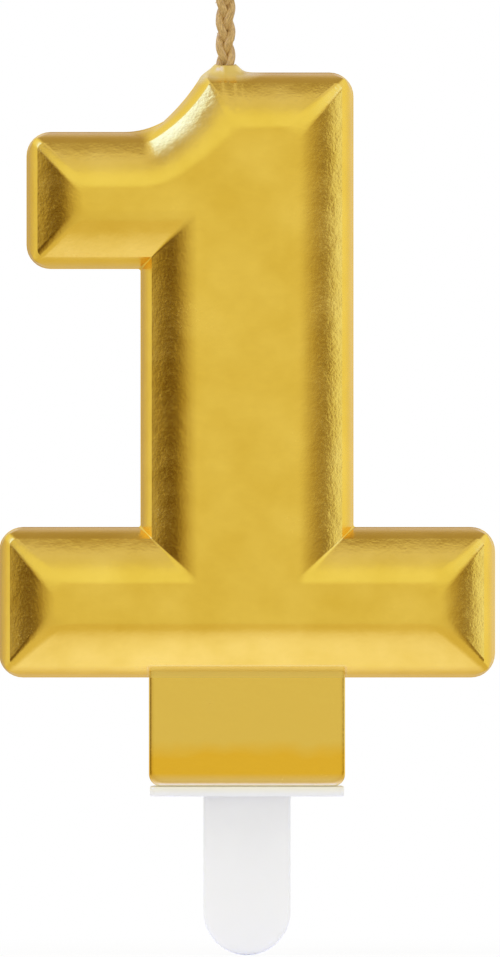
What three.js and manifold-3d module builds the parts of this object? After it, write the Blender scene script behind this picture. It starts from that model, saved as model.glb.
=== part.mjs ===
// A number candle in the shape of a numeral one. It is a moulded wax casting with a metallic
// skin, a wick down its stem, and a plastic pick whose tongue pushes up into the foot.
// Sizes are in millimetres and +Z is up. The origin is the centre of the pick flange's
// underside, where it meets the top of the cake. The numeral's face looks towards -Y.

import * as THREE from 'three';
import { mergeVertices } from 'three/addons/utils/BufferGeometryUtils.js';
import Module from 'manifold-3d';

// The numeral's outline, seen from the front
const stemWidth = 21.2;
const stemHeight = 45.45; // from the bar's top to the numeral's top
const barWidth = 49.5;
const barHeight = 14.95;
const flagReach = 11.4; // out from the stem's left side
const flagHeight = 13.6;
const flagDrop = 5.95; // from the numeral's top down to the flag's top
const arcFootInset = 0.4; // the hollow arc's lower end, in from the stem's left side
const arcHeadInset = 6.2; // the hollow arc's upper end, in from the stem's left side
const arcRadius = 15;
const cornerRadius = 2.4;

// The crown, the same on the front and the back of the parting plane
const rimWidth = 1.1;
const rimRise = 3.8;
const rimShoulder = 2.6; // height at which the rim turns in towards the bevel
const partingDraft = THREE.MathUtils.degToRad(8);
const bevelWidth = 4.6;
const bevelRise = 2.6;
const bevelAngle = THREE.MathUtils.degToRad(43); // where the bevel leaves the rim

// The foot block under the bar
const footWidth = 19.6;
const footHeight = 10.9;
const footThickness = 5.4;
const footCorner = 0.9;
const footEdge = 0.4;
const footRoot = 3; // how far the block runs up into the bar

// The metallic skin and the bare sole that it leaves under the foot
const coatThickness = 0.25;
const coatGap = 0.05; // between the skin and the wax
const coatTurnUnder = 0.6; // the skin's width on the flat sole
const beadRadius = 2.05;
const beadTopRadius = 1.3;
const beadHeight = 0.85;
const beadRoot = 1.4; // how far the bead runs down over the rim

// The wick
const wickDiameter = 2;
const wickOffset = 2.15; // left of the stem's centre line
const wickExposed = 9.2;
const wickTipLength = 0.7;
const wickTipDiameter = 1.2;
const wickGap = 0.1;
const wickClearOfSlot = 4.5;

// The pick
const flangeWidth = 19.4;
const flangeDepth = 5.4;
const flangeThickness = 1;
const flangeCorner = 0.9;
const flangeEdge = 0.2;
const bladeWidth = 8.7;
const bladeThickness = 1.8;
const bladeLength = 15.9;
const bladeEdge = 0.45;
const tongueWidth = 7;
const tongueThickness = 1.4;
const tongueLength = 8;
const tongueTaper = 0.5; // narrowing on each side at the tip
const barbHeight = 0.25;
const barbLength = 1.3;
const barbPitch = 2.2;
const barbCount = 3;
const slotGap = 0.2; // round the tongue and its barbs
const slotHeadroom = 0.5;

// Facets of the curved surfaces
const rimSteps = 4;
const bevelSteps = 8;
const cornerSteps = 5;
const edgeSteps = 3;
const arcStepAngle = THREE.MathUtils.degToRad(5);
const roundSteps = 16;
const weldDistance = 1e-4;

// Levels and sides that follow from the sizes above
const footBottom = flangeThickness;
const barBottom = footBottom + footHeight;
const barTop = barBottom + barHeight;
const numeralTop = barTop + stemHeight;
const flagTop = numeralTop - flagDrop;
const flagBottom = flagTop - flagHeight;
const stemSide = stemWidth / 2;
const barSide = barWidth / 2;
const flagSide = stemSide + flagReach;
const crownRise = rimRise + bevelRise;
const slotTop = footBottom + tongueLength + slotHeadroom;
const wickFoot = slotTop + wickClearOfSlot;
const wickTip = numeralTop + wickExposed;
const overlap = 0.5; // how far joined shapes of one piece run into each other
const beyond = 2 * (numeralTop + barWidth); // longer than anything on the numeral

const { Manifold, Mesh } = await loadKernel();

async function loadKernel() {
  const wasm = await Module();
  wasm.setup();
  return wasm;
}

// A closed solid made from a geometry, with its faces turned outwards
function solid(geometry) {
  const bare = geometry.clone();
  bare.deleteAttribute('normal');
  bare.deleteAttribute('uv');
  const merged = mergeVertices(bare, weldDistance);
  const corners = [];
  for (let i = 0; i < merged.index.count; i += 3) {
    const triangle = [0, 1, 2].map((k) => merged.index.getX(i + k));
    if (new Set(triangle).size === 3) corners.push(triangle);
  }
  const build = (triangles) => new Manifold(new Mesh({
    numProp: 3,
    vertProperties: new Float32Array(merged.attributes.position.array),
    triVerts: Uint32Array.from(triangles.flat()),
  }));
  const made = build(corners);
  return made.volume() > 0 ? made : build(corners.map((triangle) => triangle.toReversed()));
}

function joined(solids) {
  return solids.reduce((whole, piece) => whole.add(piece));
}

function common(solids) {
  return solids.reduce((whole, piece) => whole.intersect(piece));
}

function named(name, piece, material) {
  const { vertProperties, triVerts, numProp } = piece.getMesh();
  const geometry = new THREE.BufferGeometry();
  const places = new THREE.InterleavedBuffer(vertProperties, numProp);
  geometry.setAttribute('position', new THREE.InterleavedBufferAttribute(places, 3, 0));
  geometry.setIndex(Array.from(triVerts));
  const flat = geometry.toNonIndexed();
  flat.computeVertexNormals();
  const mesh = new THREE.Mesh(flat, material);
  mesh.name = name;
  return mesh;
}

// An upright plate with the given outline in X and Z, centred on the parting plane
function uprightPlate(outline, thickness, edge) {
  const plate = new THREE.ExtrudeGeometry(outline, {
    depth: thickness - 2 * edge,
    curveSegments: cornerSteps,
    bevelEnabled: edge > 0,
    bevelThickness: edge,
    bevelSize: edge,
    bevelOffset: -edge,
    bevelSegments: edgeSteps,
  });
  plate.translate(0, 0, edge - thickness / 2);
  plate.rotateX(Math.PI / 2);
  return solid(plate);
}

// A solid turned about an upright axis, from points of radius and height
function turned(points, x) {
  const profile = points.map(([radius, height]) => new THREE.Vector2(radius, height));
  const lathe = new THREE.LatheGeometry(profile, roundSteps);
  lathe.rotateX(Math.PI / 2);
  lathe.translate(x, 0, 0);
  return solid(lathe);
}

// A closed ring of points moved inwards, for a ring that runs clockwise
function insetRing(ring, inset) {
  return ring.map((point, i) => {
    const before = ring[(i + ring.length - 1) % ring.length];
    const after = ring[(i + 1) % ring.length];
    const arriving = point.clone().sub(before).normalize();
    const leaving = after.clone().sub(point).normalize();
    const mitre = new THREE.Vector2(arriving.y + leaving.y, -arriving.x - leaving.x);
    return mitre.multiplyScalar(inset / (1 + arriving.dot(leaving))).add(point);
  });
}

// The crown's cross section, where x is the distance in from the outline and y the height
function crownSection(inset) {
  const start = new THREE.Vector2(0, 0);
  const shoulder = new THREE.Vector2(rimShoulder * Math.tan(partingDraft), rimShoulder);
  const rimTop = new THREE.Vector2(rimWidth, rimRise);
  const knee = new THREE.Vector2(rimWidth + bevelRise / Math.tan(bevelAngle), crownRise);
  const plateau = new THREE.Vector2(rimWidth + bevelWidth, crownRise);
  const rim = new THREE.QuadraticBezierCurve(start, shoulder, rimTop).getPoints(rimSteps);
  const bevel = new THREE.QuadraticBezierCurve(rimTop, knee, plateau).getPoints(bevelSteps);
  const front = [...rim, ...bevel.slice(1), new THREE.Vector2(beyond, crownRise)];
  const back = front.slice(1).reverse().map((point) => new THREE.Vector2(point.x, -point.y));
  return insetRing([...front, ...back], inset);
}

// The crowned half space behind one straight edge of the outline
function straightEdge(section, x, z, inwardX, inwardZ) {
  const slab = new THREE.ExtrudeGeometry(new THREE.Shape(section), {
    depth: 2 * beyond,
    bevelEnabled: false,
  });
  slab.translate(0, 0, -beyond);
  const inward = new THREE.Vector3(inwardX, 0, inwardZ);
  const across = new THREE.Vector3(0, 1, 0);
  const along = new THREE.Vector3().crossVectors(inward, across);
  slab.applyMatrix4(new THREE.Matrix4().makeBasis(inward, across, along).setPosition(x, 0, z));
  return solid(slab);
}

// The centre of the hollow arc, up and left of its two ends
function arcCentre() {
  const foot = new THREE.Vector2(arcFootInset - stemSide, flagTop);
  const head = new THREE.Vector2(arcHeadInset - stemSide, numeralTop);
  const chord = head.clone().sub(foot);
  const rise = Math.sqrt(arcRadius ** 2 - chord.lengthSq() / 4);
  const upLeft = new THREE.Vector2(-chord.y, chord.x).normalize();
  return foot.clone().add(head).multiplyScalar(0.5).addScaledVector(upLeft, rise);
}

// The crowned space outside the hollow arc
function arcEdge(section) {
  const centre = arcCentre();
  const ring = section.map((point) => new THREE.Vector2(arcRadius + point.x, point.y));
  ring.push(ring[0].clone());
  const lathe = new THREE.LatheGeometry(ring, Math.round(2 * Math.PI / arcStepAngle));
  lathe.translate(centre.x, 0, centre.y);
  return solid(lathe);
}

// Where a level crosses the hollow arc, for an outline that is moved inwards
function arcSideAt(level, inset) {
  const centre = arcCentre();
  return centre.x + Math.sqrt((arcRadius + inset) ** 2 - (level - centre.y) ** 2);
}

function arcPoints(inset) {
  const centre = arcCentre();
  const radius = arcRadius + inset;
  const angleAt = (level) => Math.asin((level - centre.y) / radius);
  const from = angleAt(flagTop - inset);
  const to = angleAt(numeralTop - inset);
  const steps = Math.ceil((to - from) / arcStepAngle);
  return Array.from({ length: steps - 1 }, (_, i) => {
    const angle = from + (to - from) * (i + 1) / steps;
    return [centre.x + radius * Math.cos(angle), centre.y + radius * Math.sin(angle), 0];
  });
}

// A closed outline from corners of x, z and the radius that each is rounded with
function roundedOutline(corners) {
  const outline = new THREE.Shape();
  corners.forEach(([x, z, radius], i) => {
    const corner = new THREE.Vector2(x, z);
    const before = new THREE.Vector2(...corners[(i + corners.length - 1) % corners.length]);
    const after = new THREE.Vector2(...corners[(i + 1) % corners.length]);
    const back = before.sub(corner).normalize();
    const on = after.sub(corner).normalize();
    const opening = Math.acos(back.dot(on));
    const setback = radius / Math.tan(opening / 2);
    const enter = corner.clone().addScaledVector(back, setback);
    const leave = corner.clone().addScaledVector(on, setback);
    if (i === 0) outline.moveTo(enter.x, enter.y);
    else outline.lineTo(enter.x, enter.y);
    if (radius > 0) {
      const pull = 4 / 3 * Math.tan((Math.PI - opening) / 4) * radius;
      const first = enter.clone().addScaledVector(back, -pull);
      const second = leave.clone().addScaledVector(on, -pull);
      outline.bezierCurveTo(first.x, first.y, second.x, second.y, leave.x, leave.y);
    }
  });
  outline.closePath();
  return outline;
}

// The whole numeral's outline without the foot, with its outer corners rounded
function numeralOutline(inset) {
  const round = cornerRadius - inset;
  const stem = stemSide - inset;
  const bar = barSide - inset;
  const flag = flagSide - inset;
  return roundedOutline([
    [-flag, flagBottom + inset, round],
    [-flag, flagTop - inset, round],
    [arcSideAt(flagTop - inset, inset), flagTop - inset, 0],
    ...arcPoints(inset),
    [arcSideAt(numeralTop - inset, inset), numeralTop - inset, round / 2],
    [stem, numeralTop - inset, round],
    [stem, barTop - inset, 0],
    [bar, barTop - inset, round],
    [bar, barBottom + inset, round],
    [-bar, barBottom + inset, round],
    [-bar, barTop - inset, round],
    [-stem, barTop - inset, 0],
    [-stem, flagBottom + inset, 0],
  ]);
}

// The crowned numeral. Each stroke is what its edges share, which mitres the outer corners,
// and the strokes join in a crease at each inner corner.
function numeral(inset) {
  const section = crownSection(inset);
  const stemLeft = straightEdge(section, -stemSide, 0, 1, 0);
  const stemRight = straightEdge(section, stemSide, 0, -1, 0);
  const stemTop = straightEdge(section, 0, numeralTop, 0, -1);
  const barLeft = straightEdge(section, -barSide, 0, 1, 0);
  const barRight = straightEdge(section, barSide, 0, -1, 0);
  const barUpper = straightEdge(section, 0, barTop, 0, -1);
  const barLower = straightEdge(section, 0, barBottom, 0, 1);
  const flagLeft = straightEdge(section, -flagSide, 0, 1, 0);
  const flagUpper = straightEdge(section, 0, flagTop, 0, -1);
  const flagLower = straightEdge(section, 0, flagBottom, 0, 1);
  const arc = arcEdge(section);
  const strokes = [
    [flagLeft, flagUpper, flagLower, stemRight],
    [flagLeft, flagLower, arc, stemTop, stemRight],
    [stemLeft, stemRight, stemTop, arc, barLower],
    [barLeft, barRight, barUpper, barLower],
  ];
  const outline = uprightPlate(numeralOutline(inset), beyond, 0);
  return joined(strokes.map(common)).intersect(outline);
}

function foot(inset) {
  const side = footWidth / 2 - inset;
  const top = barBottom + footRoot;
  const outline = roundedOutline([
    [-side, footBottom + inset, footCorner - inset],
    [-side, top, 0],
    [side, top, 0],
    [side, footBottom + inset, footCorner - inset],
  ]);
  return uprightPlate(outline, footThickness - 2 * inset, footEdge - inset);
}

// The flat bare sole under the foot, with its lower face in the plane that the foot rests on
function sole(gap, depth) {
  const width = footWidth - 2 * (footCorner + coatTurnUnder + gap);
  const thickness = footThickness - 2 * (footEdge + coatTurnUnder + gap);
  const height = depth + coatThickness + overlap;
  const block = new THREE.BoxGeometry(width, thickness, height);
  block.translate(0, 0, footBottom - depth + height / 2);
  return solid(block);
}

function wickShape(gap) {
  const radius = wickDiameter / 2 + gap;
  return turned([[0, wickFoot - gap], [radius, wickFoot - gap], [radius, wickTip], [0, wickTip]], -wickOffset);
}

// The bead of skin that climbs the wick where it leaves the stem
function bead() {
  const shoulder = numeralTop + beadHeight / 3;
  return turned([
    [0, numeralTop - beadRoot],
    [beadRadius, numeralTop - beadRoot],
    [beadRadius, numeralTop],
    [(beadRadius + beadTopRadius) / 2, shoulder],
    [beadTopRadius, numeralTop + beadHeight],
    [0, numeralTop + beadHeight],
  ], -wickOffset);
}

function makeCoat() {
  const outside = joined([numeral(0), foot(0), bead()]);
  const inside = joined([numeral(coatThickness), foot(coatThickness), sole(0, overlap)]);
  return outside.subtract(inside).subtract(wickShape(wickGap));
}

function makeWax() {
  const inset = coatThickness + coatGap;
  const casting = joined([numeral(inset), foot(inset), sole(coatGap, 0)]);
  return casting.subtract(wickShape(wickGap)).subtract(tongueSlot());
}

function makeWick() {
  const radius = wickDiameter / 2;
  return turned([
    [0, wickFoot],
    [radius, wickFoot],
    [radius, wickTip - wickTipLength],
    [wickTipDiameter / 2, wickTip],
    [0, wickTip],
  ], -wickOffset);
}

// The slot in the foot that the pick's tongue pushes up into
function tongueSlot() {
  const side = tongueWidth / 2 + slotGap;
  const outline = roundedOutline([
    [-side, footBottom - overlap, 0],
    [-side, slotTop, 0],
    [side, slotTop, 0],
    [side, footBottom - overlap, 0],
  ]);
  return uprightPlate(outline, tongueThickness + 2 * (barbHeight + slotGap), 0);
}

function flange() {
  const x = flangeWidth / 2;
  const y = flangeDepth / 2;
  const corners = [[-x, -y], [-x, y], [x, y], [x, -y]];
  const outline = roundedOutline(corners.map((corner) => [...corner, flangeCorner]));
  const plate = new THREE.ExtrudeGeometry(outline, {
    depth: flangeThickness - 2 * flangeEdge,
    curveSegments: cornerSteps,
    bevelThickness: flangeEdge,
    bevelSize: flangeEdge,
    bevelOffset: -flangeEdge,
    bevelSegments: edgeSteps,
  });
  plate.translate(0, 0, flangeEdge);
  return solid(plate);
}

function blade() {
  const side = bladeWidth / 2;
  const outline = new THREE.Shape();
  outline.moveTo(side, overlap);
  outline.lineTo(-side, overlap);
  outline.absarc(0, side - bladeLength, side, Math.PI, 2 * Math.PI, false);
  outline.closePath();
  return uprightPlate(outline, bladeThickness, bladeEdge);
}

function tongueHalfWidth(height) {
  return tongueWidth / 2 - tongueTaper * height / tongueLength;
}

function tongue() {
  const outline = roundedOutline([
    [-tongueHalfWidth(0), flangeThickness - overlap, 0],
    [-tongueHalfWidth(tongueLength), flangeThickness + tongueLength, tongueTaper],
    [tongueHalfWidth(tongueLength), flangeThickness + tongueLength, tongueTaper],
    [tongueHalfWidth(0), flangeThickness - overlap, 0],
  ]);
  return uprightPlate(outline, tongueThickness, 0);
}

// One barb across both faces of the tongue, wide at its lower side
function barb(index) {
  const low = barbPitch * (index + 0.5);
  const half = tongueThickness / 2;
  const section = new THREE.Shape();
  section.moveTo(-half - barbHeight, low);
  section.lineTo(half + barbHeight, low);
  section.lineTo(half, low + barbLength);
  section.lineTo(-half, low + barbLength);
  section.closePath();
  const width = 2 * tongueHalfWidth(low + barbLength);
  const wedge = new THREE.ExtrudeGeometry(section, { depth: width, bevelEnabled: false });
  wedge.translate(0, 0, -width / 2);
  wedge.rotateX(Math.PI / 2);
  wedge.rotateZ(Math.PI / 2);
  wedge.translate(0, 0, flangeThickness);
  return solid(wedge);
}

function makePick() {
  const barbs = Array.from({ length: barbCount }, (_, i) => barb(i));
  return joined([flange(), blade(), tongue(), ...barbs]);
}

const goldLacquer = new THREE.MeshStandardMaterial({ color: 0xd9b24a, roughness: 0.34, metalness: 1 });
const paraffin = new THREE.MeshStandardMaterial({ color: 0xf1ead6, roughness: 0.55, metalness: 0 });
const waxedCotton = new THREE.MeshStandardMaterial({ color: 0xb28a4e, roughness: 0.7, metalness: 0 });
const whitePlastic = new THREE.MeshStandardMaterial({ color: 0xeceef2, roughness: 0.35, metalness: 0 });

const casting = new THREE.Group();
casting.add(named('gold_coat', makeCoat(), goldLacquer));
casting.add(named('wax_core', makeWax(), paraffin));
casting.add(named('wick', makeWick(), waxedCotton));

const candle = new THREE.Group();
candle.add(casting);
candle.add(named('pick', makePick(), whitePlastic));

export default candle;
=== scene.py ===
"""A number candle in the shape of a numeral one, dressed around its measured frame.

The casting's gold skin and the pick's flat parts are crowned plates grown by one node tree.
The wick is a plait grown by a second tree and the barbs are a row grown by a third. The stage
is a pale floor in a white room, and metal sees a darker studio in that room's place.
"""

import math
from collections import namedtuple

import bmesh
import bpy
import numpy as np
from mathutils import Matrix, Vector


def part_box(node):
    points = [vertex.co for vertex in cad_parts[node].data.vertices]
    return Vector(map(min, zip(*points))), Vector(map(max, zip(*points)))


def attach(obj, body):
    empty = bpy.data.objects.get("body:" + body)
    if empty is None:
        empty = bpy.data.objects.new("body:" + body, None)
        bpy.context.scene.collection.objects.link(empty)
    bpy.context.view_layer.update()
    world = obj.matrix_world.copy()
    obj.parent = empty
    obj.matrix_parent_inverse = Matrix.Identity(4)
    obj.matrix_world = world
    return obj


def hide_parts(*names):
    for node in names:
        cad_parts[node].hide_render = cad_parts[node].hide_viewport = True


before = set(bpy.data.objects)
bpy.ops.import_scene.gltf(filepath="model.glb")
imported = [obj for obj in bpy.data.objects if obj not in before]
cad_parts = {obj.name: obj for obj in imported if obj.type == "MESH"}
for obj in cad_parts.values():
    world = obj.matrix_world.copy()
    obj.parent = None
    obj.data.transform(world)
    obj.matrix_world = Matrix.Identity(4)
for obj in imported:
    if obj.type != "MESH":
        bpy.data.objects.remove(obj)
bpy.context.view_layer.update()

MM = 0.001

# Boxes of the frame's pieces, which the sizes below start from
coat_low, coat_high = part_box("gold_coat")
pick_low, pick_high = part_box("pick")
wick_low, wick_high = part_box("wick")

# The numeral's outline, seen from the front
FOOT_BOTTOM = coat_low.z
BEAD_HEIGHT = 0.85 * MM
NUMERAL_TOP = coat_high.z - BEAD_HEIGHT
BAR_SIDE = coat_high.x
CROWN_RISE = coat_high.y
FOOT_HEIGHT = 10.9 * MM
BAR_HEIGHT = 14.95 * MM
STEM_SIDE = 10.6 * MM
FLAG_REACH = 11.4 * MM
FLAG_HEIGHT = 13.6 * MM
FLAG_DROP = 5.95 * MM
ARC_FOOT_INSET = 0.4 * MM
ARC_HEAD_INSET = 6.2 * MM
ARC_RADIUS = 15 * MM
CORNER_RADIUS = 2.4 * MM
CREASE_RADIUS = 0.25 * MM
BAR_BOTTOM = FOOT_BOTTOM + FOOT_HEIGHT
BAR_TOP = BAR_BOTTOM + BAR_HEIGHT
FLAG_TOP = NUMERAL_TOP - FLAG_DROP
FLAG_BOTTOM = FLAG_TOP - FLAG_HEIGHT
FLAG_SIDE = STEM_SIDE + FLAG_REACH

# The crown on each side of the parting plane. A corner's rounding shrinks to the hip share within
# the first part of the rim, so that the skin stays outside the wax there.
RIM_WIDTH = 1.1 * MM
RIM_RISE = 3.8 * MM
RIM_SHOULDER = 2.6 * MM
PARTING_DRAFT = math.radians(8)
BEVEL_WIDTH = 4.6 * MM
BEVEL_ANGLE = math.radians(40)
PLATEAU_LIP = 0.05 * MM
HIP_SHARE = 0.3
HIP_END = 0.5
CREST_RADIUS = 1.5 * MM
FLAG_CREST_RADIUS = 0.82 * MM
CREASE_CREST_RADIUS = 0.6 * MM
ARC_FOOT_RADIUS = 8 * MM
ARC_FOOT_CREST_RADIUS = 9 * MM
SEAM_PROUD = 0.05 * MM

# The foot block, the skin's thickness, how far the skin turns under the sole, and the hole that
# the wick comes out of
FOOT_SIDE = 9.8 * MM
FOOT_HALF_THICKNESS = 2.7 * MM
FOOT_CORNER = 1.2 * MM
FOOT_EDGE = 0.55 * MM
FOOT_ROOT = 3 * MM
SKIN = 0.2 * MM
TURN_UNDER = 0.6 * MM
BORE_SHARE = 0.9
BORE_DEPTH = 1.5 * MM
BORE_CLEARANCE = 2 * MM

# The wick, one strand of the plait that stands for it, and its loose fibres
WICK_X = (wick_low.x + wick_high.x) / 2
WICK_RADIUS = (wick_high.x - wick_low.x) / 2
STRAND_RADIUS = 0.43 * MM
FIBRE_BEND = [(-0.05 * MM, 0, -0.28 * MM), (0.09 * MM, 0, 0), (-0.02 * MM, 0, 0.34 * MM)]
FIBRE_RADIUS = 0.022 * MM
FIBRE_SIZES = (0.7, 1.25)
FIBRE_LEAN = (0.5, 0.45, 0.4)

# The bead of lacquer at the wick's root, and the runs that dried below it, each with its place
# beside the wick, its width, its length and its height
BEAD_FALL = 0.62 * MM
BEAD_POWER = 1.5
BEAD_SKIRT = 1.6 * MM
BEAD_FADE = 1.2 * MM
RUN_TAPER = 0.25
RUN_FORWARD = 0.8
RUN_UP = 0.55
RUNS = [
    (0.0, 0.30 * MM, 2.7 * MM, 0.06 * MM),
    (1.2 * MM, 0.24 * MM, 3.9 * MM, 0.05 * MM),
    (1.85 * MM, 0.22 * MM, 3.1 * MM, 0.045 * MM),
]

# The pick
FLANGE_SIDE = pick_high.x
FLANGE_HALF_DEPTH = pick_high.y
FLANGE_THICKNESS = FOOT_BOTTOM
FLANGE_CORNER = 0.9 * MM
FLANGE_EDGE = 0.2 * MM
BLADE_SIDE = 4.35 * MM
BLADE_HALF_THICKNESS = 0.9 * MM
BLADE_EDGE = 0.45 * MM
BLADE_TIP = pick_low.z
TONGUE_SIDE = 3.5 * MM
TONGUE_TAPER = 0.5 * MM
TONGUE_HALF_THICKNESS = 0.7 * MM
TONGUE_EDGE = 0.12 * MM
TONGUE_TOP = pick_high.z
TONGUE_LENGTH = TONGUE_TOP - FLANGE_THICKNESS
BARB_LENGTH = 1.3 * MM
BARB_PITCH = 2.2 * MM
ROOT = 0.5 * MM

# The angles past which an edge stays sharp
CREASE = math.radians(32)
SKIN_CREASE = math.radians(17)
WICK_CREASE = math.radians(60)

# What each point of an outline carries: how far it moves for a unit of inset, for its corner's
# rounding at the rim, and for that at the plateau
MOVES = ("inset", "rounding", "crest")

Corner = namedtuple("Corner", "x z radius crest spacing arc", defaults=(0, None, 0.8 * MM, None))

UPRIGHT = Matrix.Rotation(math.pi / 2, 4, "X")


# Node wiring

SOCKETS = {int: "Int", float: "Float"}


def new_tree(name, kind, inputs, outputs):
    """An empty node group with named sockets, each given by its type or its starting number."""
    tree = bpy.data.node_groups.new(name, kind)
    for direction, sockets in (("INPUT", inputs), ("OUTPUT", outputs)):
        for label, start in sockets.items():
            sort = SOCKETS.get(type(start), start)
            made = tree.interface.new_socket(label, in_out=direction,
                                             socket_type="NodeSocket" + sort)
            if sort is not start:
                made.default_value = start
    return tree, tree.nodes.new("NodeGroupInput").outputs, tree.nodes.new("NodeGroupOutput").inputs


def new_geometry_tree(name, inputs):
    return new_tree(name, "GeometryNodeTree", inputs, {"Geometry": "Geometry"})


def set_inputs(tree, node, inputs):
    """Links each input to a socket, or gives it a value."""
    for key, value in inputs.items():
        if isinstance(value, bpy.types.NodeSocket):
            tree.links.new(value, node.inputs[key])
        else:
            node.inputs[key].default_value = value


def add(tree, kind, inputs=None, **settings):
    """A node with its settings and inputs."""
    node = tree.nodes.new(kind)
    for key, value in settings.items():
        setattr(node, key, value)
    set_inputs(tree, node, inputs or {})
    return node


def result(tree, kind, inputs=None, **settings):
    """The first output of a new node."""
    return add(tree, kind, inputs, **settings).outputs[0]


def reckon(tree, operation, *values):
    """One step of arithmetic."""
    return result(tree, "ShaderNodeMath", dict(enumerate(values)), operation=operation)


def plus(tree, first, second):
    return reckon(tree, "ADD", first, second)


def minus(tree, first, second):
    return reckon(tree, "SUBTRACT", first, second)


def times(tree, product, *factors):
    for factor in factors:
        product = reckon(tree, "MULTIPLY", product, factor)
    return product


def scaled(tree, vector, size):
    return result(tree, "ShaderNodeVectorMath", {0: vector, "Scale": size}, operation="SCALE")


def point(tree, x=0.0, y=0.0, z=0.0):
    return result(tree, "ShaderNodeCombineXYZ", {0: x, 1: y, 2: z})


def parts(tree, place):
    """A vector's X, Y and Z."""
    return add(tree, "ShaderNodeSeparateXYZ", {0: place}).outputs


def ramp(tree, value, low, high, to_low=0.0, to_high=1.0):
    """A value spread over a new range, and held at its ends."""
    inputs = {0: value, 1: low, 2: high, 3: to_low, 4: to_high}
    return result(tree, "ShaderNodeMapRange", inputs)


def fade(tree, value, start, end):
    """A mask that is 1 up to a start and 0 from an end on."""
    return ramp(tree, value, start, end, 1.0, 0.0)


def blend(tree, share, first, second):
    """A mix of two numbers."""
    return result(tree, "ShaderNodeMix", {0: share, 2: first, 3: second})


def tint(tree, share, first, second):
    """A mix of two colours, each a socket or a linear red, green and blue."""
    ends = [end if isinstance(end, bpy.types.NodeSocket) else (*end, 1) for end in (first, second)]
    inputs = {0: share, 6: ends[0], 7: ends[1]}
    return add(tree, "ShaderNodeMix", inputs, data_type="RGBA").outputs[2]


def distance_across(tree, x, y):
    """How far a place is from the Z axis."""
    inputs = {0: point(tree, x, y)}
    return add(tree, "ShaderNodeVectorMath", inputs, operation="LENGTH").outputs["Value"]


def noise(tree, vector, scale, detail, roughness=0.5):
    inputs = {"Vector": vector, "Scale": scale, "Detail": detail, "Roughness": roughness}
    return result(tree, "ShaderNodeTexNoise", inputs)


def sweep(tree, curve, profile):
    """A profile drawn along a curve, with closed ends."""
    inputs = {"Curve": curve, "Profile Curve": profile, "Fill Caps": True}
    return result(tree, "GeometryNodeCurveToMesh", inputs)


def new_object(name, data):
    """An object that is in the scene."""
    made = bpy.data.objects.new(name, data)
    bpy.context.scene.collection.objects.link(made)
    return made


def grow(name, tree, values, mesh=None):
    """The plain object that a node tree makes from a starting mesh, or from nothing."""
    piece = new_object(name, mesh or bpy.data.meshes.new(name))
    modifier = piece.modifiers.new(tree.name, "NODES")
    modifier.node_group = tree
    for item in tree.interface.items_tree:
        if item.in_out == "INPUT" and item.name in values:
            modifier[item.identifier] = values[item.name]
    settle(piece)
    return piece


def settle(piece):
    """Turns a piece's modifiers into its mesh."""
    depsgraph = bpy.context.evaluated_depsgraph_get()
    made = bpy.data.meshes.new_from_object(piece.evaluated_get(depsgraph))
    piece.modifiers.clear()
    piece.data = made


def combine(base, others, operation):
    """Joins other solids to a base solid, or cuts them from it, and deletes them."""
    for other in others:
        modifier = base.modifiers.new(operation, "BOOLEAN")
        modifier.operation = operation
        modifier.object = other
        modifier.solver = "EXACT"
    settle(base)
    for other in others:
        bpy.data.objects.remove(other)


def face_out(mesh):
    """Turns every face's normal outwards."""
    work = bmesh.new()
    work.from_mesh(mesh)
    bmesh.ops.recalc_face_normals(work, faces=work.faces)
    work.to_mesh(mesh)
    work.free()


def finish_surface(piece, material, crease=CREASE):
    """One material, smooth faces, and edges that stay sharp where the form turns sharply."""
    mesh = piece.data
    mesh.materials.clear()
    mesh.materials.append(material)
    mesh.polygons.foreach_set("material_index", [0] * len(mesh.polygons))
    mesh.shade_smooth()
    mesh.set_sharp_from_angle(angle=crease)


# Outlines

def inward(direction):
    """The normal into the body, for an outline that runs clockwise."""
    return Vector((direction.y, -direction.x))


def edge_at(start, end, share):
    """Place and direction on the edge that leaves a corner, straight or on its arc."""
    a, b = Vector((start.x, start.z)), Vector((end.x, end.z))
    if start.arc is None:
        return a.lerp(b, share), (b - a).normalized()
    centre, radius = start.arc
    spoke_a, spoke_b = a - centre, b - centre
    turn = math.atan2(spoke_a.x * spoke_b.y - spoke_a.y * spoke_b.x, spoke_a.dot(spoke_b))
    angle = math.atan2(spoke_a.y, spoke_a.x) + turn * share
    spoke = Vector((math.cos(angle), math.sin(angle)))
    return centre + spoke * radius, Vector((-spoke.y, spoke.x)) * math.copysign(1, turn)


def corner_stations(before, corner, after, steps):
    """Stations round one corner, as its place and its inset, rounding and crest vectors."""
    first = inward(edge_at(before, corner, 1)[1])
    last = inward(edge_at(corner, after, 0)[1])
    mitre = (first + last) / (1 + first.dot(last))
    place = Vector((corner.x, corner.z))
    if not corner.radius:
        return [(place, mitre, Vector((0, 0)), Vector((0, 0)))]
    turn = math.atan2(first.x * last.y - first.y * last.x, first.dot(last))
    sign = 1 if turn < 0 else -1
    crest = corner.radius if corner.crest is None else corner.crest
    rows = []
    for step in range(steps + 1):
        normal = Matrix.Rotation(turn * step / steps, 2) @ first
        swing = (mitre - normal) * sign
        rows.append((place, mitre, swing * corner.radius, swing * crest))
    return rows


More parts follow.
